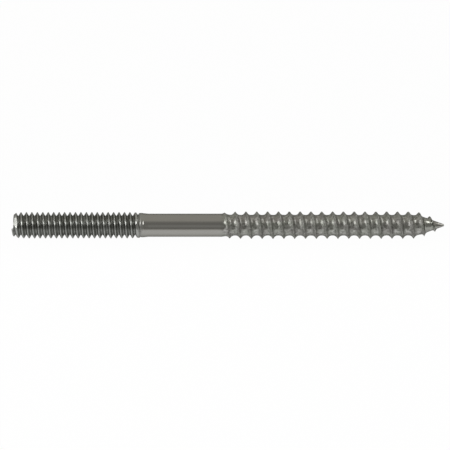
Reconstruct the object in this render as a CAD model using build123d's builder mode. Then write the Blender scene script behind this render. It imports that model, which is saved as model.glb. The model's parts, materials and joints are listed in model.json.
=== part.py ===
from build123d import *
import os
from math import cos, floor, pi, sin, sqrt

os.makedirs("parts", exist_ok=True)

# Driving dimensions, in millimetres
overall_length = 101.6
shank_diameter = 5.43

machine_diameter = 6.22
machine_length = 28.4
machine_chamfer = 0.7
machine_runout_length = 3.4

wood_pitch = 2.553
wood_crest_diameter = 6.46
wood_root_diameter = 4.84
wood_thread_length = 52.9
wood_lead_length = 3.9
wood_crest_offset = 1.195
ridge_foot_width = 1.6
ridge_middle_width = 0.64

point_length = 7.0
point_blend = 1.0
ridge_point_length = 6.3
ridge_tip_diameter = 1.1
ridge_fade_length = 1.2
ridge_end_gap = 1.3
tip_diameter = 0.8
tip_fillet = 0.25

# Shares and counts, which have no size of their own
ridge_middle_share = 0.42
ridge_sunk_share = 0.8
ridge_least_share = 0.4
arcs_per_turn = 2
points_per_arc = 16

# Stations along the axis, from the machine end on the left to the tip on the right
machine_end = -overall_length / 2
tip_end = overall_length / 2
runout_start = machine_end + machine_length
runout_end = runout_start + machine_runout_length
wood_start = tip_end - wood_thread_length
shank_end = wood_start - ridge_foot_width
ridge_start = wood_start + wood_lead_length * (1 - ridge_sunk_share)
point_start = tip_end - point_length
ridge_point_start = tip_end - ridge_point_length
ridge_end = tip_end - ridge_end_gap
ridge_fade_start = ridge_end - ridge_fade_length
cone_start = ridge_end + ridge_foot_width / 2

# Radii, and the height of the axis of a bolt that lies on its wood thread
shank_radius = shank_diameter / 2
machine_radius = machine_diameter / 2
wood_crest_radius = wood_crest_diameter / 2
wood_root_radius = wood_root_diameter / 2
ridge_tip_radius = ridge_tip_diameter / 2
tip_radius = tip_diameter / 2
axis_height = wood_crest_radius


def rise(x, start, length):
    """Goes smoothly from 0 to 1 as x runs over a length."""
    share = min(max((x - start) / length, 0), 1)
    return (1 - cos(pi * share)) / 2


def past(x, start):
    """How far x lies past a start, with a soft corner there."""
    return (x - start + sqrt((x - start) ** 2 + point_blend**2)) / 2


def from_shank(x, full_radius):
    """A radius that leaves the shank's where the wood thread begins."""
    return shank_radius + (full_radius - shank_radius) * rise(x, wood_start, wood_lead_length)


def root(x):
    """The core, which narrows from the shank and then to the tip."""
    cone_slope = (wood_root_radius - tip_radius) / point_length
    return from_shank(x, wood_root_radius) - cone_slope * past(x, point_start)


def crest(x):
    """The ridge's edge, which grows out of the shank and sinks into the point."""
    cone_slope = (wood_crest_radius - ridge_tip_radius) / ridge_point_length
    radius = from_shank(x, wood_crest_radius) - cone_slope * past(x, ridge_point_start)
    sunk = rise(x, ridge_fade_start, ridge_fade_length) * ridge_sunk_share
    return radius + (root(x) - radius) * sunk


def middle(x):
    """A line part of the way up the ridge, below which its foot spreads."""
    return root(x) + (crest(x) - root(x)) * ridge_middle_share


def spread(x):
    """The share of its full width that the ridge has, which falls as it sinks."""
    return max((crest(x) - root(x)) / (wood_crest_radius - wood_root_radius), ridge_least_share)


# The ridge's lines from its left foot over its edge to its right foot, each with its shift and radius
ridge_lines = [
    (-ridge_foot_width / 2, root),
    (-ridge_middle_width / 2, middle),
    (0, crest),
    (ridge_middle_width / 2, middle),
    (ridge_foot_width / 2, root),
]
left_foot, right_foot = 0, -1


def spot(turn, line):
    """The point where one line of the ridge is at a turn about the axis."""
    shift, radius = ridge_lines[line]
    edge = wood_crest_offset + wood_pitch * turn
    x = edge + shift * spread(edge)
    angle = 2 * pi * turn
    return Vector(x, radius(x) * cos(angle), axis_height + radius(x) * sin(angle))


def winding(line, first, last):
    """One line of the ridge, as smooth arcs end to end."""
    arcs = []
    for arc in range(first, last):
        turns = [(arc + step / points_per_arc) / arcs_per_turn for step in range(points_per_arc + 1)]
        arcs.append(Edge.make_spline([spot(turn, line) for turn in turns], parameters=turns))
    return arcs


def ring(x, radius, first):
    """A circle round the axis, in arcs that begin where the ridge's arcs do."""
    about = Plane(origin=(x, 0, axis_height), x_dir=(0, 1, 0), z_dir=(1, 0, 0))
    arc_angle = 360 / arcs_per_turn
    starts = [(first + arc) % arcs_per_turn * arc_angle for arc in range(arcs_per_turn)]
    return [Edge.make_circle(radius, about, start, start + arc_angle) for start in starts]


def strip(low, high):
    """The ruled faces between two rows of arcs."""
    return [Face.make_surface_from_curves(a, b) for a, b in zip(low, high)]


def wood_end():
    """The threaded end from the shank to the tip, sewn from its faces into one solid."""
    first = round((ridge_start - wood_crest_offset) / wood_pitch * arcs_per_turn)
    last = floor((ridge_end - wood_crest_offset) / wood_pitch * arcs_per_turn)
    rows = [winding(line, first, last) for line in range(len(ridge_lines))]
    shank_ring = ring(shank_end, shank_radius, first)
    cone_ring = ring(cone_start, root(cone_start), last)
    tip_ring = ring(tip_end, tip_radius, last)

    # The ridge's flanks, and the core between one turn and the next
    faces = []
    for low, high in zip(rows, rows[1:]):
        faces += strip(low, high)
    faces += strip(rows[right_foot][:-arcs_per_turn], rows[left_foot][arcs_per_turn:])

    # The core before the first turn and after the last, the point's cone and the two ends
    faces += strip(shank_ring, rows[left_foot][:arcs_per_turn])
    faces += strip(rows[right_foot][-arcs_per_turn:], cone_ring)
    faces += strip(cone_ring, tip_ring)
    faces += [Face(Wire(shank_ring)), Face(Wire(tip_ring))]

    # A small flat face where the ridge starts and another where it stops
    start_turn, stop_turn = first / arcs_per_turn, last / arcs_per_turn
    start_profile = [spot(start_turn, line) for line in range(len(ridge_lines))]
    stop_profile = [spot(stop_turn, line) for line in range(len(ridge_lines))]
    start_outline = [shank_ring[0] @ 0, *start_profile, spot(start_turn + 1, left_foot)]
    stop_outline = [cone_ring[0] @ 0, spot(stop_turn - 1, right_foot), *stop_profile]
    faces += [Face(Wire.make_polygon(outline)) for outline in (start_outline, stop_outline)]
    return Solid(Shell(faces))


# The machine end, as its thread's outer cylinder, and the shank are turned round the axis.
bolt_axis = Axis((0, 0, axis_height), (1, 0, 0))
with BuildPart() as hanger_bolt:
    with BuildSketch(Plane.XZ):
        with BuildLine():
            Polyline(
                (machine_end, axis_height),
                (machine_end, axis_height + machine_radius - machine_chamfer),
                (machine_end + machine_chamfer, axis_height + machine_radius),
                (runout_start, axis_height + machine_radius),
                (runout_end, axis_height + shank_radius),
                (shank_end, axis_height + shank_radius),
                (shank_end, axis_height),
                close=True,
            )
        make_face()
    revolve(axis=bolt_axis)
    add(wood_end())
    fillet(hanger_bolt.edges().filter_by_position(Axis.X, tip_end, tip_end), tip_fillet)

hanger_bolt.part.label = "hanger_bolt"
export_step(hanger_bolt.part, "parts/hanger_bolt.step")
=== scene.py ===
# %% [markdown]
# # A hanger bolt in rolled steel
#
# A hanger bolt has no head. One end carries a fine machine thread for a nut, the other a coarse wood
# thread with a point, and a smooth shank joins them. This lesson dresses the solid model of one such
# bolt: it cuts the fine thread that the solid leaves plain, softens the coarse one, gives the steel its
# finish and sets up the light and the camera.
#
# The solid model comes first, because every size here has to agree with it.

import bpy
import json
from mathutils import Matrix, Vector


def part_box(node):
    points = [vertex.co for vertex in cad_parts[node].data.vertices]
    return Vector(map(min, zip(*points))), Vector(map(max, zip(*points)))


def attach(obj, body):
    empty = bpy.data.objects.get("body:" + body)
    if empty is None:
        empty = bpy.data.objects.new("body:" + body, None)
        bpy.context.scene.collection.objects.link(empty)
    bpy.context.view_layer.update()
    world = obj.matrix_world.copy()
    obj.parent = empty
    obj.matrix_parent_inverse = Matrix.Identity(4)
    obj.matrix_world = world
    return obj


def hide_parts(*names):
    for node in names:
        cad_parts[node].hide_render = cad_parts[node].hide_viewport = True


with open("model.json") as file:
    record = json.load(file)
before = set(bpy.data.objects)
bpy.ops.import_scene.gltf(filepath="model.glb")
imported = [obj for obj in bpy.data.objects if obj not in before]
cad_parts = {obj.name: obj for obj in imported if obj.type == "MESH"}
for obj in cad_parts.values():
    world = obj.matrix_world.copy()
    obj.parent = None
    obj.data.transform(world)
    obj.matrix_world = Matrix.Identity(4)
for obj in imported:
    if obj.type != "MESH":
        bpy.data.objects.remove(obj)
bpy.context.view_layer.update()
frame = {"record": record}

# %% [markdown]
# The sizes below are in millimetres, the unit that a bolt is measured in, and `mm` turns them into metres
# where a mesh is made. The ends, the axis and the two thread sizes are read from the solid and its record.
# The rest are the few sizes that a thread roller would need: pitches, core sizes and how the threads end.

# %% Sizes from the solid and its record
import json
from math import cos, pi, radians, sin

import bpy
import numpy as np
from mathutils import Matrix, Vector, noise

mm = 0.001
low_corner, high_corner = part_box("hanger_bolt")
machine_end = low_corner.x / mm
tip_end = high_corner.x / mm
axis_height = (low_corner.z + high_corner.z) / 2 / mm
mounts = {mount["name"]: mount["dims"] for mount in frame["record"]["mounts"]}
machine_radius = mounts["machine_thread"]["r_mm"]
wood_radius = mounts["wood_thread"]["r_mm"]
wood_start = tip_end - mounts["wood_thread"]["length_mm"]
shank_radius = 2.715
print(f"axis at {axis_height:.2f} mm, wood thread from {wood_start:.2f} to {tip_end:.2f} mm")

# %% [markdown]
# ## The form of the bolt
#
# A rolled thread is a ridge on a round core, so the whole bolt can be written as one radius that depends
# on the place along the axis and on the angle round it. Two small curves do most of the work: one eases
# from 0 to 1, the other is a ramp with a soft corner. Formulas suit this piece better than a screw
# modifier, because both threads fade in and out, which a modifier can't do.

# %% Two curves that shape everything


def ease(x, start, length):
    """Runs smoothly from 0 to 1 as x passes over a length."""
    share = np.clip((x - start) / length, 0, 1)
    return share * share * (3 - 2 * share)


def ramp(x, blend):
    """Nothing before 0 and x after it, with a soft corner between."""
    return (x + np.sqrt(x * x + blend * blend)) / 2


print("ease halfway:", ease(0.5, 0, 1), "ramp at its corner:", ramp(0.0, 1.0))

# %% [markdown]
# The wood thread lies between two lines that run the length of the bolt's front half: the core, which is
# the bottom of the hollows, and the crest, which is the edge of the ridge. Rolling pushes metal out of the
# shank, so the core is thinner than the shank and the crest stands above it. At the front both narrow to
# the point, and the crest sinks into the core just before the tip.

# %% The wood thread's core and crest
wood_core_radius = 2.43
wood_lead_length = 3.2
wood_crest_lead = 1.6
point_length = 6.05
point_blend = 0.8
point_radius = 0.24
crest_point_length = 6.0
crest_point_slope = 0.425
ridge_end_gap = 1.2
ridge_fade_length = 1.0


def wood_core(x):
    """The core between the turns, from the shank to the tip."""
    full = shank_radius + (wood_core_radius - shank_radius) * ease(x, wood_start, wood_lead_length)
    slope = (wood_core_radius - point_radius) / point_length
    return full - slope * ramp(x - tip_end + point_length, point_blend)


def wood_crest(x):
    """The ridge's edge, which leaves the shank quickly and sinks into the point."""
    grown = 1 - np.exp(-np.maximum(x - wood_start, 0) / wood_crest_lead)
    full = shank_radius + (wood_radius - shank_radius) * grown
    radius = full - crest_point_slope * ramp(x - tip_end + crest_point_length, point_blend)
    fade = ease(x, tip_end - ridge_end_gap - ridge_fade_length, ridge_fade_length)
    return radius + (wood_core(x) - radius) * fade


point_radii = [round(float(line(tip_end - point_length)), 2) for line in (wood_core, wood_crest)]
print("core and crest radius where the point begins:", point_radii, "mm")

# %% [markdown]
# Between those lines the ridge winds round. It has a thin crest and a wide hollow, because it has to part
# wood fibres, and on the point the hollow gets wider still. A profile swept along a spiral would make the
# plain turns too, but not this slow change towards the point.

# %% The wood thread's ridge
wood_pitch = 2.553
wood_offset = 1.195
wood_crest_width = 0.08
wood_hollow_power = 3.2
point_hollow_power = 6.0
point_hollow_blend = 1.5


def past_crest(x, turn, pitch, offset):
    """How far a place on the bolt lies past the nearest crest, along the axis."""
    phase = (x - offset) / pitch - turn
    return (phase - np.round(phase)) * pitch


def wood_form(x, turn):
    """The radius of the wood thread."""
    away = past_crest(x, turn, wood_pitch, wood_offset)
    blunt = np.sqrt(away * away + wood_crest_width**2) - wood_crest_width
    towards_point = ease(x, tip_end - point_length, point_hollow_blend)
    power = wood_hollow_power + (point_hollow_power - wood_hollow_power) * towards_point
    height = np.maximum(1 - blunt / (wood_pitch / 2), 0) ** power
    return wood_core(x) + (wood_crest(x) - wood_core(x)) * height


print("wood thread turns:", round((tip_end - wood_start) / wood_pitch, 1))

# %% [markdown]
# The machine thread has a core and a crest too. Its first turn is low, because the roller has nothing to
# push against at a cut end. Its last turns run out over a few millimetres: the crest comes down to the
# shank, and the bottom of the groove rises until it is above the crest, where no groove is left.

# %% The machine thread's core and crest
machine_core_radius = 2.2
first_turn_drop = 0.96
first_turn_length = 0.72
core_end_drop = 0.2
core_end_length = 0.3
crest_runout_start = -23.0
crest_runout_end = -18.9
groove_runout_start = -22.4
groove_runout_length = 3.4
groove_lift = 0.3


def machine_crest(x):
    """The machine thread's edge, low at the cut end and down to the shank at the other."""
    risen = machine_radius - first_turn_drop * np.exp(-(x - machine_end) / first_turn_length)
    share = np.clip((x - crest_runout_start) / (crest_runout_end - crest_runout_start), 0, 1)
    return risen + (shank_radius - risen) * share


def machine_core(x):
    """The bottom of the machine thread's groove."""
    core = machine_core_radius - core_end_drop * np.exp(-(x - machine_end) / core_end_length)
    lifted = machine_crest(x) + groove_lift
    return core + (lifted - core) * ease(x, groove_runout_start, groove_runout_length)


print("machine thread depth in mm:", round(machine_radius - machine_core_radius, 2))

# %% [markdown]
# The groove is the standard one, with 60 degrees between its flanks and a rounded root, so it gets narrow
# as it gets shallow. The roller leaves the tops of the crests slanted by a hair, and that slant is what
# catches the light. A boolean with a screw-shaped cutter could cut the groove, but it would leave broken
# faces just where the groove fades.

# %% The machine thread's groove
machine_pitch = 1.274
machine_offset = -0.43
flank_slope = 1 / np.tan(radians(30))
machine_crest_blend = 0.07
machine_crest_slant = 0.5
machine_crest_drop = 0.08
machine_root_width = 0.05
machine_root_blend = 0.05


def machine_form(x, turn):
    """The radius of the machine thread: the crest's slanted top, or the groove where that lies lower."""
    past = past_crest(x, turn, machine_pitch, machine_offset)
    away = machine_pitch / 2 - np.abs(past)
    groove = machine_core(x) + flank_slope * ramp(away - machine_root_width, machine_root_blend)
    slant = machine_crest_slant * past * (1 - ease(x, crest_runout_start, groove_runout_length))
    top = machine_crest(x) + np.clip(slant, -machine_crest_drop, machine_crest_drop)
    return top - ramp(top - groove, machine_crest_blend)


print("machine thread turns:", round((groove_runout_start - machine_end) / machine_pitch, 1))

# %% [markdown]
# The shank lies between the two threads, so the whole bolt is the machine thread up to the middle of the
# shank and the wood thread after it. Both forms have come down to the shank's own radius there. At the cut
# end the shear pressed a small slanted flat into the first turns. A flat is a plane, and written as a radius
# it can be compared with the thread's: the smaller of the two is what is left of the metal.

# %% The whole bolt as one radius
shank_middle = (crest_runout_end + wood_start) / 2
flat_place = 0.55
flat_radius = 2.3
flat_lean = radians(27)
flat_turn = 114 / 360
flat_reach = 3.0
least_cosine = 0.1


def pressed_flat(x, turn):
    """A slanted flat at the cut end, where the shear pressed the bolt before it parted."""
    across = np.maximum(np.cos(2 * pi * (turn - flat_turn)), least_cosine)
    flat = (flat_radius + (x - machine_end - flat_place) * np.tan(flat_lean)) / across
    return np.where(x < machine_end + flat_reach, flat, machine_radius)


def bolt_radius(x, turn):
    """The bolt's radius at a place along the axis and a turn round it."""
    threaded = np.where(x < shank_middle, machine_form(x, turn), wood_form(x, turn))
    return np.minimum(threaded, np.where(x < shank_middle, pressed_flat(x, turn), wood_radius))


print("radius at the middle of the shank:", float(bolt_radius(np.array(shank_middle), 0.0)))

# %% [markdown]
# ## The mesh
#
# A grid of straight rings would cut across the crests and leave them jagged. This grid winds round the
# bolt like the threads do: one strip of columns that follows the machine thread's pitch, then the shank,
# then the wood thread's pitch, so that a line of the mesh runs along every crest. Columns crowd near the
# crest, where the form bends most. At both ends the strip is cut off by holding its points at the end.

# %% The winding grid
angle_steps = 96
columns = 16
crowding_share = 0.5
shank_turns = 6
overrun_turns = 1.5
strip_shank_start = crest_runout_end
strip_shank_end = wood_start - wood_pitch / 4

machine_turn = (strip_shank_start - machine_offset) / machine_pitch
wood_turn = (strip_shank_end - wood_offset) / wood_pitch
turn_shift = round(machine_turn + shank_turns - wood_turn)
first_turn = (machine_end - machine_offset) / machine_pitch - overrun_turns
last_turn = (tip_end - wood_offset) / wood_pitch + turn_shift + overrun_turns
strip_turns = [first_turn, machine_turn, wood_turn + turn_shift, last_turn]
strip_places = [
    machine_offset + machine_pitch * first_turn,
    strip_shank_start,
    strip_shank_end,
    wood_offset + wood_pitch * (last_turn - turn_shift),
]
rows = int((last_turn - first_turn) * angle_steps)
column_share = np.arange(columns) / columns
column_turn = column_share - crowding_share * np.sin(2 * pi * column_share) / (2 * pi)
start_step = int(np.floor(first_turn * angle_steps))
row_turn = (start_step + np.arange(rows))[:, None] / angle_steps
grid_x = np.interp(row_turn + column_turn[None, :], strip_turns, strip_places)
grid_turn = np.broadcast_to(row_turn, grid_x.shape)
print("grid:", grid_x.shape, "turns in all:", round(last_turn - first_turn, 1))

# %% [markdown]
# The cut end of a rolled bolt isn't flat. The outside is pushed along more than the middle, which leaves
# a shallow cup, and the last bit of ridge folds over as a lip that follows the thread round for a third
# of a turn. The tip is a small round nose. Both are closed with rings of points.

# %% Where the strip is cut off at each end
rim_setback = 0.42
lip_reach = 0.38
lip_start_turn = 152 / 360
lip_turns = 120 / 360
nose_radius = 0.17


def rim_place(turn):
    """Where the cut end's rim is, with the folded lip standing out from it."""
    share = np.clip(1 - np.mod(turn - lip_start_turn, 1) / lip_turns, 0, 1)
    return machine_end + rim_setback - lip_reach * share


nose_start = tip_end - nose_radius
left_limit = rim_place(grid_turn)
x = np.clip(grid_x, left_limit, nose_start)
radius = bolt_radius(x, grid_turn)
print("rim from", round(float(left_limit.min()), 2), "to", round(float(left_limit.max()), 2), "mm")

# %% [markdown]
# Points that were held at an end fall together there, so each of them is swapped for the point of one
# ring, and the faces that have lost too many corners are left out. What remains is a closed skin with no
# loose or doubled faces.

# %% Points and faces of the strip
step_index = np.arange(rows)[:, None] + start_step
own_index = np.arange(rows * columns).reshape(rows, columns)
left_ring = rows * columns + np.arange(angle_steps)
nose_ring = left_ring + angle_steps
index = np.where(grid_x <= left_limit, left_ring[step_index % angle_steps], own_index)
index = np.where(grid_x >= nose_start, nose_ring[step_index % angle_steps], index)


def strip_faces():
    """The faces between neighbouring columns, where the last column meets the next turn's first."""
    next_column = np.concatenate([index[:-angle_steps, 1:], index[angle_steps:, :1]], axis=1)
    here = index[:-angle_steps]
    corners = np.stack([here[:-1], here[1:], next_column[1:], next_column[:-1]], axis=-1).reshape(-1, 4)
    faces = []
    for corner in corners.tolist():
        kept = [point for n, point in enumerate(corner) if point != corner[n - 1]]
        if len(set(kept)) >= 3:
            faces.append(kept)
    return faces


skin_faces = strip_faces()
print("faces of the strip:", len(skin_faces))

# %% [markdown]
# Rings close the two ends. Each ring is given by a place and a radius for all its angles, and one flat
# face closes the last ring.

# %% The cup at the cut end and the nose at the tip
cup_depth = 0.5
cup_radius_shares = [0.95, 0.88, 0.76, 0.58, 0.36, 0.16]
cup_depth_shares = [-0.04, 0.12, 0.45, 0.78, 0.95, 1.0]
nose_angles = [radians(22), radians(45), radians(68), radians(90)]

ring_turn = np.arange(angle_steps) / angle_steps
rim_x = rim_place(ring_turn)
rim_radius = bolt_radius(rim_x, ring_turn)
nose_base = float(bolt_radius(np.array(nose_start), 0.0))

ring_points = [(rim_x, rim_radius), (np.full(angle_steps, nose_start), np.full(angle_steps, nose_base))]
cup_floor = machine_end + rim_setback + cup_depth
for radius_share, depth_share in zip(cup_radius_shares, cup_depth_shares):
    ring_points.append((rim_x + (cup_floor - rim_x) * depth_share, rim_radius * radius_share))
for angle in nose_angles:
    nose_x = nose_start + nose_radius * sin(angle)
    nose_r = nose_base - nose_radius * (1 - cos(angle))
    ring_points.append((np.full(angle_steps, nose_x), np.full(angle_steps, nose_r)))
print("rings of points:", len(ring_points))

# %% [markdown]
# A band of faces joins each ring to the next. Which way round a face's corners run decides which side is
# its outside, so the bands of the cup run the other way from those of the nose.

# %% Faces of the cup and the nose


def ring_faces(outer, inner, outward):
    """The band of faces between two rings, wound so that it faces out of the bolt."""
    band = []
    for n in range(angle_steps):
        following = (n + 1) % angle_steps
        corner = [outer[n], outer[following], inner[following], inner[n]]
        band.append(corner if outward else corner[::-1])
    return band


ring_start = rows * columns
rings = [ring_start + angle_steps * n + np.arange(angle_steps) for n in range(len(ring_points))]
cup_rings = [rings[0], *rings[2 : 2 + len(cup_radius_shares)]]
nose_rings = [rings[1], *rings[2 + len(cup_radius_shares) :]]
for outer, inner in zip(cup_rings, cup_rings[1:]):
    skin_faces += ring_faces(outer.tolist(), inner.tolist(), False)
for outer, inner in zip(nose_rings, nose_rings[1:]):
    skin_faces += ring_faces(outer.tolist(), inner.tolist(), True)
skin_faces.append(cup_rings[-1].tolist()[::-1])
skin_faces.append(nose_rings[-1].tolist())
print("rings at the cup and the nose:", len(cup_rings), len(nose_rings))

# %% [markdown]
# A rolled surface is never quite even: the metal flows a little more here and a little less there. A slow
# noise moves the threads in and out by a hundredth of a millimetre or so, less on the fine thread than on
# the coarse one and not at all on the shank. It needs no seed, because this noise is the same for the same
# place every time.

# %% Uneven flow of the rolled metal
flow_size = 0.9
flow_height = 0.024
flow_lead = 1.0
calm_nose_length = 2.0
machine_flow_share = 0.4


def cylinder_points(x, radius, turn):
    """Points in millimetres from places along the axis, radii and turns."""
    angle = 2 * pi * turn
    across, up = radius * np.cos(angle), axis_height + radius * np.sin(angle)
    return np.stack([x, across, up], axis=-1).reshape(-1, 3)


all_x = np.concatenate([x.ravel(), *[ring_x for ring_x, _ in ring_points]])
all_radius = np.concatenate([radius.ravel(), *[ring_r for _, ring_r in ring_points]])
all_turn = np.concatenate([grid_turn.ravel(), *[ring_turn for _ in ring_points]])
even_points = cylinder_points(all_x, all_radius, all_turn)
flow = np.array([noise.noise(Vector(point) / flow_size) for point in even_points])
past_machine = ease(all_x, groove_runout_start, groove_runout_length)
on_thread = 1 - past_machine * (1 - ease(all_x, wood_start, flow_lead))
on_thread *= 1 - ease(all_x, nose_start - calm_nose_length, calm_nose_length)
on_thread *= machine_flow_share + (1 - machine_flow_share) * ease(all_x, shank_middle, flow_lead)
moved = flow * flow_height * on_thread
points = cylinder_points(all_x, all_radius + moved, all_turn)
print("flow in mm from", round(float(moved.min()), 4), "to", round(float(moved.max()), 4))

# %% [markdown]
# The finish changes with the depth in the thread: the hollows get painted shade and their own roughness, and
# the crests wear. A material can't know how deep a point lies, so the mesh carries that as a value on each
# point: 0 on the crests and 1 in the hollows.

# %% How deep each point lies
least_depth = 0.1

machine_floor = np.minimum(machine_core(all_x), machine_crest(all_x))
core = np.where(all_x < shank_middle, machine_floor, wood_core(all_x))
crest = np.where(all_x < shank_middle, machine_crest(all_x), wood_crest(all_x))
depth = np.clip((crest - all_radius) / np.maximum(crest - core, least_depth), 0, 1)
print("mean depth of the points:", round(float(depth.mean()), 2))

# %% [markdown]
# Now the points and faces become one mesh object. It is one object because the real bolt is one piece of
# steel, and it replaces the plain solid that it was measured from. Points that no face uses are left out.

# %% The bolt as one object
used = np.unique(np.concatenate([np.array(face) for face in skin_faces]))
new_index = np.full(len(points), -1)
new_index[used] = np.arange(len(used))
used_faces = [new_index[face].tolist() for face in skin_faces]
mesh = bpy.data.meshes.new("rolled_bolt")
mesh.from_pydata((points[used] * mm).tolist(), [], used_faces)
carried = mesh.attributes.new("hollow", "FLOAT", "POINT")
carried.data.foreach_set("value", depth[used].astype(np.float32))
mesh.polygons.foreach_set("use_smooth", [True] * len(mesh.polygons))
mesh.update()
bolt = bpy.data.objects.new("rolled_bolt", mesh)
bpy.context.scene.collection.objects.link(bolt)
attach(bolt, "root")
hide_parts("hanger_bolt")
print("bolt:", len(mesh.vertices), "points,", sum(len(face) - 2 for face in used_faces), "triangles")

# %% [markdown]
# ## The finish
#
# Shader nodes are easiest to read as sums. The small class below wraps one socket of a node, so that
# `a * b` adds a Math node and links it. Any other node is added by its one method `node`, which sets the
# node's settings first and then its sockets.

# %% Sockets that can be added and multiplied


class Shade:
    """One socket of a node tree, which Python's operators join to others with Math nodes."""

    def __init__(self, tree, socket=None):
        self.tree = tree
        self.socket = socket

    def node(self, kind, settings, sockets, output=0):
        """Adds any node: its settings first, then the values or links of its sockets."""
        made = self.tree.nodes.new("ShaderNode" + kind)
        for name, setting in settings.items():
            setattr(made, name, setting)
        for name, value in sockets.items():
            if isinstance(value, Shade):
                self.tree.links.new(value.socket, made.inputs[name])
            else:
                made.inputs[name].default_value = value
        return Shade(self.tree, made.outputs[output] if made.outputs else None)

    def maths(self, operation, first, second):
        return self.node("Math", {"operation": operation}, {0: first, 1: second})

    def __add__(self, other):
        return self.maths("ADD", self, other)

    def __radd__(self, other):
        return self.maths("ADD", other, self)

    def __sub__(self, other):
        return self.maths("SUBTRACT", self, other)

    def __rsub__(self, other):
        return self.maths("SUBTRACT", other, self)

    def __mul__(self, other):
        return self.maths("MULTIPLY", self, other)

    def __rmul__(self, other):
        return self.maths("MULTIPLY", other, self)


print("operators ready:", [name for name in ("__add__", "__rsub__", "__mul__") if hasattr(Shade, name)])

# %% [markdown]
# Four helpers cover the rest: a noise that can be stretched, a soft step, a mix of two colours and a mix
# of two whole shaders.

# %% Noise, soft steps and mixes


def grain(place, stretch, size, detail):
    """Noise from 0 to 1 with features of a size in millimetres, stretched along each axis."""
    scale = [1 / (size * mm * longer) for longer in stretch]
    scaled = place.node("VectorMath", {"operation": "MULTIPLY"}, {0: place, 1: scale})
    return place.node("TexNoise", {}, {"Vector": scaled, "Scale": 1.0, "Detail": detail})


def step(value, start, end):
    """A soft step from 0 at the start to 1 at the end."""
    settings = {"interpolation_type": "SMOOTHSTEP"}
    return value.node("MapRange", settings, {"Value": value, "From Min": start, "From Max": end})


def mix_colours(share, first, second):
    """The first colour where the share is 0 and the second where it is 1."""
    return share.node("Mix", {"data_type": "RGBA"}, {0: share, 6: first, 7: second}, 2)


def mix_shaders(share, first, second):
    """The first shader where the share is 0 and the second where it is 1."""
    return share.node("MixShader", {}, {0: share, 1: first, 2: second})


print("helpers ready: grain, step, mix_colours, mix_shaders")

# %% [markdown]
# The bolt is plain steel, dull grey with a slightly warm cast. The shank was drawn through a die, which
# leaves it smooth, and the threads were rolled, which leaves a duller and blotchy skin. Separate materials
# would meet at hard edges, so all of it is one material: soft steps along the axis say which skin a point
# has. The places are in millimetres, as the bolt's own sizes are.

# %% Where each skin begins and ends
machine_skin_end = -22.0
wood_skin_lead = 0.3
wood_skin_fade = 1.5
turns_skin_lag = 0.3
point_skin_length = 5.4
point_skin_fade = 0.8
cut_skin_length = 0.9
cut_skin_fade = 0.4
runout_skin_start = -21.6
runout_skin_rise = 0.3
runout_skin_end = -20.4
runout_skin_fall = 0.12

steel = bpy.data.materials.new("rolled_steel")
steel.use_nodes = True
steel.node_tree.nodes.clear()
steel_nodes = Shade(steel.node_tree)
place = steel_nodes.node("TexCoord", {}, {}, "Object")
along = steel_nodes.node("SeparateXYZ", {}, {"Vector": place}, "X")
hollow = steel_nodes.node("Attribute", {"attribute_name": "hollow"}, {}, "Fac")


def beyond(begin, fade):
    """0 up to a place along the bolt and 1 from a short fade after it."""
    return step(along, begin * mm, (begin + fade) * mm)


on_machine = 1 - beyond(machine_skin_end, crest_runout_end - machine_skin_end)
on_wood = beyond(wood_start - wood_skin_lead, wood_skin_fade)
on_shank = 1 - on_machine - on_wood
on_turns = beyond(wood_start + turns_skin_lag, wood_skin_fade)
on_point = beyond(tip_end - point_skin_length, point_skin_fade)
on_cut_end = 1 - beyond(machine_end + cut_skin_length, cut_skin_fade)
on_runout = beyond(runout_skin_start, runout_skin_rise) - beyond(runout_skin_end, runout_skin_fall)
print("nodes that place the skins:", len(steel.node_tree.nodes))

# %% [markdown]
# Each kind of mark has its own noise. A die leaves lines that run along the bolt, so their noise is drawn
# out sixty times in that direction. Rolled skin is blotchy, with patches that are wider along the bolt,
# pale flecks and dark specks. An image could hold the same marks, but noise stays sharp at any distance.

# %% The grain of drawn and rolled metal
fine_detail = 4.0
coarse_detail = 2.0

die_lines = grain(place, stretch=(60, 1, 1), size=0.25, detail=fine_detail)
blotches = grain(place, stretch=(1, 1, 1), size=0.6, detail=fine_detail)
patches = grain(place, stretch=(2, 1, 1), size=2.2, detail=coarse_detail)
specks = grain(place, stretch=(1, 1, 1), size=0.5, detail=coarse_detail)
flecks = grain(place, stretch=(1.4, 1, 1), size=0.7, detail=coarse_detail)
print("nodes with the grain:", len(steel.node_tree.nodes))

# %% [markdown]
# The marks become shares from 0 to 1. The hollows are darkened in blotches, mostly those of the machine
# thread: that is painted shade.
# Specks and flecks lie on the rolled skin, and the wood thread's crests are worn a little brighter. The two
# limits of each step say how much of a noise shows: the higher they lie, the fewer marks there are.

# %% Painted shade in the hollows, specks, flecks and wear
hollow_shade_limits = (0.55, 0.95)
hollow_shade_blotch_share = 0.5
hollow_shade_share = 0.1
machine_hollow_shade_share = 0.5
speck_limits = (0.52, 0.62)
wood_speck_share = 0.5
machine_speck_share = 0.1
fleck_limits = (0.5, 0.62)
fleck_share = 0.7
worn_crest_limits = (0.72, 1.0)
worn_blotch_limits = (0.35, 0.7)
wear_share = 0.3

# The hollows are darkened in blotches: this is painted shade, strongest on the machine thread.
hollow_shade_patches = step(patches + blotches * hollow_shade_blotch_share, *hollow_shade_limits)
painted_hollow_shade = hollow * hollow_shade_patches * (hollow_shade_share + on_machine * machine_hollow_shade_share)
specked = step(specks, *speck_limits) * (1 - on_point)
dark_specks = specked * (on_wood * wood_speck_share + on_machine * machine_speck_share)
pale_flecks = step(flecks, *fleck_limits) * on_wood * fleck_share
worn_crests = step(1 - hollow, *worn_crest_limits) * step(blotches, *worn_blotch_limits)
wear = worn_crests * on_wood * wear_share
print("nodes with the marks:", len(steel.node_tree.nodes))

# %% [markdown]
# The colour is built up in layers, as paint is: each layer covers what is under it by its share. The first
# one is the wood thread's skin, and the machine thread, the shank and the marks come over it in turn.

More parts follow.
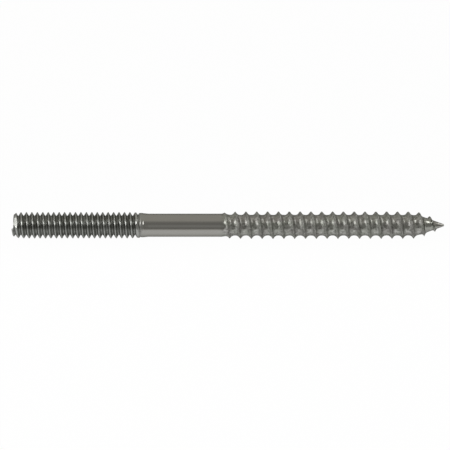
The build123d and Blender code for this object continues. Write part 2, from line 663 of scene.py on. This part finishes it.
# %% Colours of the steel
rolled_colour = (0.288, 0.299, 0.268, 1)
tinted_colour = (0.268, 0.259, 0.249, 1)
machine_colour = (0.355, 0.365, 0.352, 1)
steel_colour = (0.3, 0.294, 0.274, 1)
worn_colour = (0.35, 0.346, 0.326, 1)
# The dark colour of the painted shade in the hollows:
hollow_shade_colour = (0.1, 0.1, 0.085, 1)
fleck_colour = (0.44, 0.44, 0.42, 1)
speck_colour = (0.09, 0.09, 0.08, 1)
tint_limits = (0.4, 0.65)
patch_share = 0.4
die_line_share = 0.3

layers = [
    (on_machine, machine_colour),
    (on_shank, steel_colour),
    (patches * patch_share + die_lines * die_line_share * on_shank, worn_colour),
    (wear, worn_colour),
    # Painted shade in the hollows:
    (painted_hollow_shade, hollow_shade_colour),
    (pale_flecks, fleck_colour),
    (dark_specks, speck_colour),
]
shade = mix_colours(step(patches, *tint_limits), rolled_colour, tinted_colour)
for share, colour in layers:
    shade = mix_colours(share, shade, colour)
print("layers of colour:", len(layers) + 1)

# %% [markdown]
# Roughness decides how wide a highlight spreads. The drawn shank is the smoothest. The wood thread's flanks
# and crests were rubbed by the roller and spread the lamps' light into soft spots, while the floor of its
# hollow and its point stay nearly as smooth as the shank. The cut end and the run-out are duller.

# %% How smooth each skin is
drawn_roughness = 0.15
die_line_roughness = 0.06
machine_roughness = 0.02
groove_roughness = 0.15
flank_limits = (0.925, 0.985)
flank_roughness = 0.15
blotch_roughness = 0.16
crest_limits = (0.35, 0.75)
crest_roughness = 0.3
cut_end_roughness = 0.1
runout_roughness = 0.15

rubbed = on_turns * (1 - on_point)
flank = rubbed * (1 - step(hollow, *flank_limits))
ridge_top = rubbed * (1 - step(hollow, *crest_limits))
roughness = drawn_roughness + die_lines * die_line_roughness
roughness = roughness + on_machine * (machine_roughness + hollow * groove_roughness)
roughness = roughness + flank * (flank_roughness + blotches * blotch_roughness) + ridge_top * crest_roughness
roughness = roughness + on_cut_end * cut_end_roughness + on_runout * runout_roughness
print("nodes with the roughness:", len(steel.node_tree.nodes))

# %% [markdown]
# What is only hundredths of a millimetre high is left to a Bump node, which bends the light as if the
# surface had that relief: the drawn lines, the blotchy skin of the rolled turns, two lines that the roller's
# edge left round the bolt where the machine thread runs out, and the low shoulder beside them.

# %% Relief too fine for the mesh
relief_height = 0.06
drawn_relief = 0.05
rolled_relief = 1.8
point_relief = 0.2
roller_line_places = [-21.15, -20.7]
roller_line_width = 0.15
roller_line_relief = 0.08
shoulder_start = -20.2
shoulder_length = 0.2
shoulder_relief = 1.4

rolled = rolled_relief - on_point * (rolled_relief - point_relief)
height = die_lines * on_shank * drawn_relief + blotches * on_turns * rolled
for middle in roller_line_places:
    line = beyond(middle - roller_line_width, roller_line_width) - beyond(middle, roller_line_width)
    height = height + line * roller_line_relief
height = height + beyond(shoulder_start, shoulder_length) * shoulder_relief
bump = {"Strength": 1.0, "Distance": relief_height * mm, "Height": height}
normal = steel_nodes.node("Bump", {}, bump)
print("roller lines at", roller_line_places, "mm")

# %% [markdown]
# One Principled shader takes all of it. Metallic is full, because the steel is bare, and the tint at grazing
# angles is held back a little, because a rolled skin is never as bright there as polished metal.

# %% The finished steel
edge_tint = (0.68, 0.68, 0.66, 1)

finish = {"Base Color": shade, "Metallic": 1.0, "Roughness": roughness, "Normal": normal}
finish["Specular Tint"] = edge_tint
surface = steel_nodes.node("BsdfPrincipled", {}, finish)
steel_nodes.node("OutputMaterial", {}, {"Surface": surface})
mesh.materials.append(steel)
print("steel nodes:", len(steel.node_tree.nodes))

# %% [markdown]
# ## The floor and the light
#
# The bolt lies on a plain white floor. For the camera the floor is mostly a white glow, so that the
# background stays white, and the rest of it is ordinary paint, which keeps the bolt's shadow. The steel
# mirrors the floor too: in front of the bolt it sees the same glow, while under and behind the bolt the
# floor is grey paint, a painted shadow that the steel reflects and that keeps the far side of the threads
# dark.

# %% White paint that keeps the shadow, and grey paint under and behind the bolt as painted shadow
# The grey under and behind the bolt is a painted shadow, which shows only in the steel's reflections.
painted_shadow_limits = (-9 * mm, 3 * mm)
camera_glow = 0.98
glow_white = (1, 1, 1, 1)
sheet_white = (0.94, 0.94, 0.94, 1)
painted_shadow_grey = (0.5, 0.5, 0.5, 1)

floor_paint = bpy.data.materials.new("white_floor")
floor_paint.use_nodes = True
floor_paint.node_tree.nodes.clear()
floor_nodes = Shade(floor_paint.node_tree)
camera_ray = floor_nodes.node("LightPath", {}, {}, "Is Camera Ray")
glossy_ray = floor_nodes.node("LightPath", {}, {}, "Is Glossy Ray")
through_ray = floor_nodes.node("LightPath", {}, {}, "Is Transmission Ray")
floor_place = floor_nodes.node("TexCoord", {}, {}, "Object")
# The grey paint and the missing glow, from just in front of the bolt to behind it, are a painted shadow.
painted_shadow = step(floor_nodes.node("SeparateXYZ", {}, {"Vector": floor_place}, "Y"), *painted_shadow_limits)
white_paint = floor_nodes.node("BsdfDiffuse", {}, {"Color": sheet_white})
painted_shadow_paint = floor_nodes.node("BsdfDiffuse", {}, {"Color": painted_shadow_grey})
paint = mix_shaders(painted_shadow, white_paint, painted_shadow_paint)
glow = floor_nodes.node("Emission", {}, {"Color": glow_white, "Strength": 1.0})
glowing = camera_ray * camera_glow + (glossy_ray + through_ray) * (1 - painted_shadow)
floor_nodes.node("OutputMaterial", {}, {"Surface": mix_shaders(glowing, paint, glow)})
print("floor nodes:", len(floor_paint.node_tree.nodes))

# %% [markdown]
# One large square is enough for the floor, since nothing shows its edges. It is stage, not part of the bolt,
# and stays out of the bolt's own model.

# %% The floor as an object
floor_size = 3.0

half = floor_size / 2
floor_corners = [(-half, -half, 0), (half, -half, 0), (half, half, 0), (-half, half, 0)]
floor_mesh = bpy.data.meshes.new("floor")
floor_mesh.from_pydata(floor_corners, [], [(0, 1, 2, 3)])
floor_mesh.materials.append(floor_paint)
floor = bpy.data.objects.new("floor", floor_mesh)
bpy.context.scene.collection.objects.link(floor)
print("floor:", floor_size, "m across")

# %% [markdown]
# Metal shows the room around it, so the room is what draws the bands along the shank. It is a plain soft
# one: pale behind and above the bolt and dim on the side that the camera looks from, with a slightly
# brighter patch just below the camera and a bright strip low down in front. An image of a real room would
# do as well, but four walls that fade into each other give each band a value of its own to set.

# %% A room that is pale behind and dim in front
pale_wall = (0.615, 0.6, 0.56, 1)
dim_wall = (0.32, 0.315, 0.3, 1)
front_wall = (0.43, 0.43, 0.415, 1)
low_wall = (0.8, 0.79, 0.76, 1)
pale_limits = (-0.35, 0.2)
front_rise = radians(40)
front_limits = (0.965, 0.99)
low_limits = (0.05, 0.2)
low_front_limits = (-0.3, 0.0)

world = bpy.data.worlds.new("room")
bpy.context.scene.world = world
world.use_nodes = True
world.node_tree.nodes.clear()
room_nodes = Shade(world.node_tree)
direction = room_nodes.node("TexCoord", {}, {}, "Generated")
towards_back = room_nodes.node("SeparateXYZ", {}, {"Vector": direction}, "Y")
upwards = room_nodes.node("SeparateXYZ", {}, {"Vector": direction}, "Z")
dim, pale, front, low = [
    room_nodes.node("Background", {}, {"Color": wall, "Strength": 1.0})
    for wall in (dim_wall, pale_wall, front_wall, low_wall)
]
in_front = upwards * sin(front_rise) - towards_back * cos(front_rise)
low_down = (1 - step(upwards, *low_limits)) * (1 - step(towards_back, *low_front_limits))
walls = mix_shaders(step(towards_back, *pale_limits), dim, pale)
walls = mix_shaders(step(in_front, *front_limits), walls, front)
walls = mix_shaders(low_down, walls, low)
room_nodes.node("OutputWorld", {}, {"Surface": walls})
print("room nodes:", len(world.node_tree.nodes))

# %% [markdown]
# One wide soft lamp stands far to the left, and a smaller and weaker one to the right. The smooth shank
# doesn't show them, because it only reflects what is straight in front of it. The flanks of the threads
# lean to either side, so every turn picks up a soft bright spot from the left, and the right lamp draws
# a streak along the point.

# %% Lamps to the left and right
lamp_distance = 0.6


def facing(angle_about, lean):
    """A turned frame whose back points out at an angle about the bolt and a lean along it."""
    angle, tilt = radians(angle_about), radians(lean)
    back = Vector((sin(tilt), cos(tilt) * cos(angle), cos(tilt) * sin(angle)))
    right = Vector((cos(tilt), -sin(tilt) * cos(angle), -sin(tilt) * sin(angle)))
    return Matrix((right, back.cross(right), back)).transposed()


def lamp(name, angle_about, lean, width, height, power):
    """A soft lamp that faces the bolt, with its width along the bolt."""
    data = bpy.data.lights.new(name, "AREA")
    data.shape = "RECTANGLE"
    data.size = width
    data.size_y = height
    data.energy = power
    made = bpy.data.objects.new(name, data)
    turned = facing(angle_about, lean)
    made.matrix_world = Matrix.Translation(turned.col[2] * lamp_distance) @ turned.to_4x4()
    bpy.context.scene.collection.objects.link(made)
    print(name, "at", [round(value, 2) for value in made.matrix_world.translation], "m")


lamp("left_lamp", angle_about=105.5, lean=-56, width=0.66, height=0.18, power=2.0)
lamp("right_lamp", angle_about=70, lean=38, width=0.14, height=0.26, power=0.45)

# %% [markdown]
# ## The camera
#
# The camera looks down at 50 degrees through a long lens, with the bolt level across the picture. The left
# end is slightly nearer. Its width at the bolt is a little more than the bolt's
# length.

# %% A long lens, level with the bolt
camera_angle = 130
camera_yaw = 2.14
camera_distance = 0.5
sensor_width = 36
view_width = 105.76
aim_along = -0.89
aim_across = 0.05

camera_data = bpy.data.cameras.new("camera")
camera_data.sensor_width = sensor_width
camera_data.lens = sensor_width * camera_distance / (view_width * mm)
camera = bpy.data.objects.new("camera", camera_data)
bpy.context.scene.collection.objects.link(camera)
turned = facing(camera_angle, -camera_yaw)
target = (Vector((aim_along, 0, axis_height)) + turned.col[1] * aim_across) * mm
camera.matrix_world = Matrix.Translation(target + turned.col[2] * camera_distance) @ turned.to_4x4()
bpy.context.scene.camera = camera
bpy.context.scene.view_settings.view_transform = "Standard"
print("lens:", round(camera_data.lens, 1), "mm")
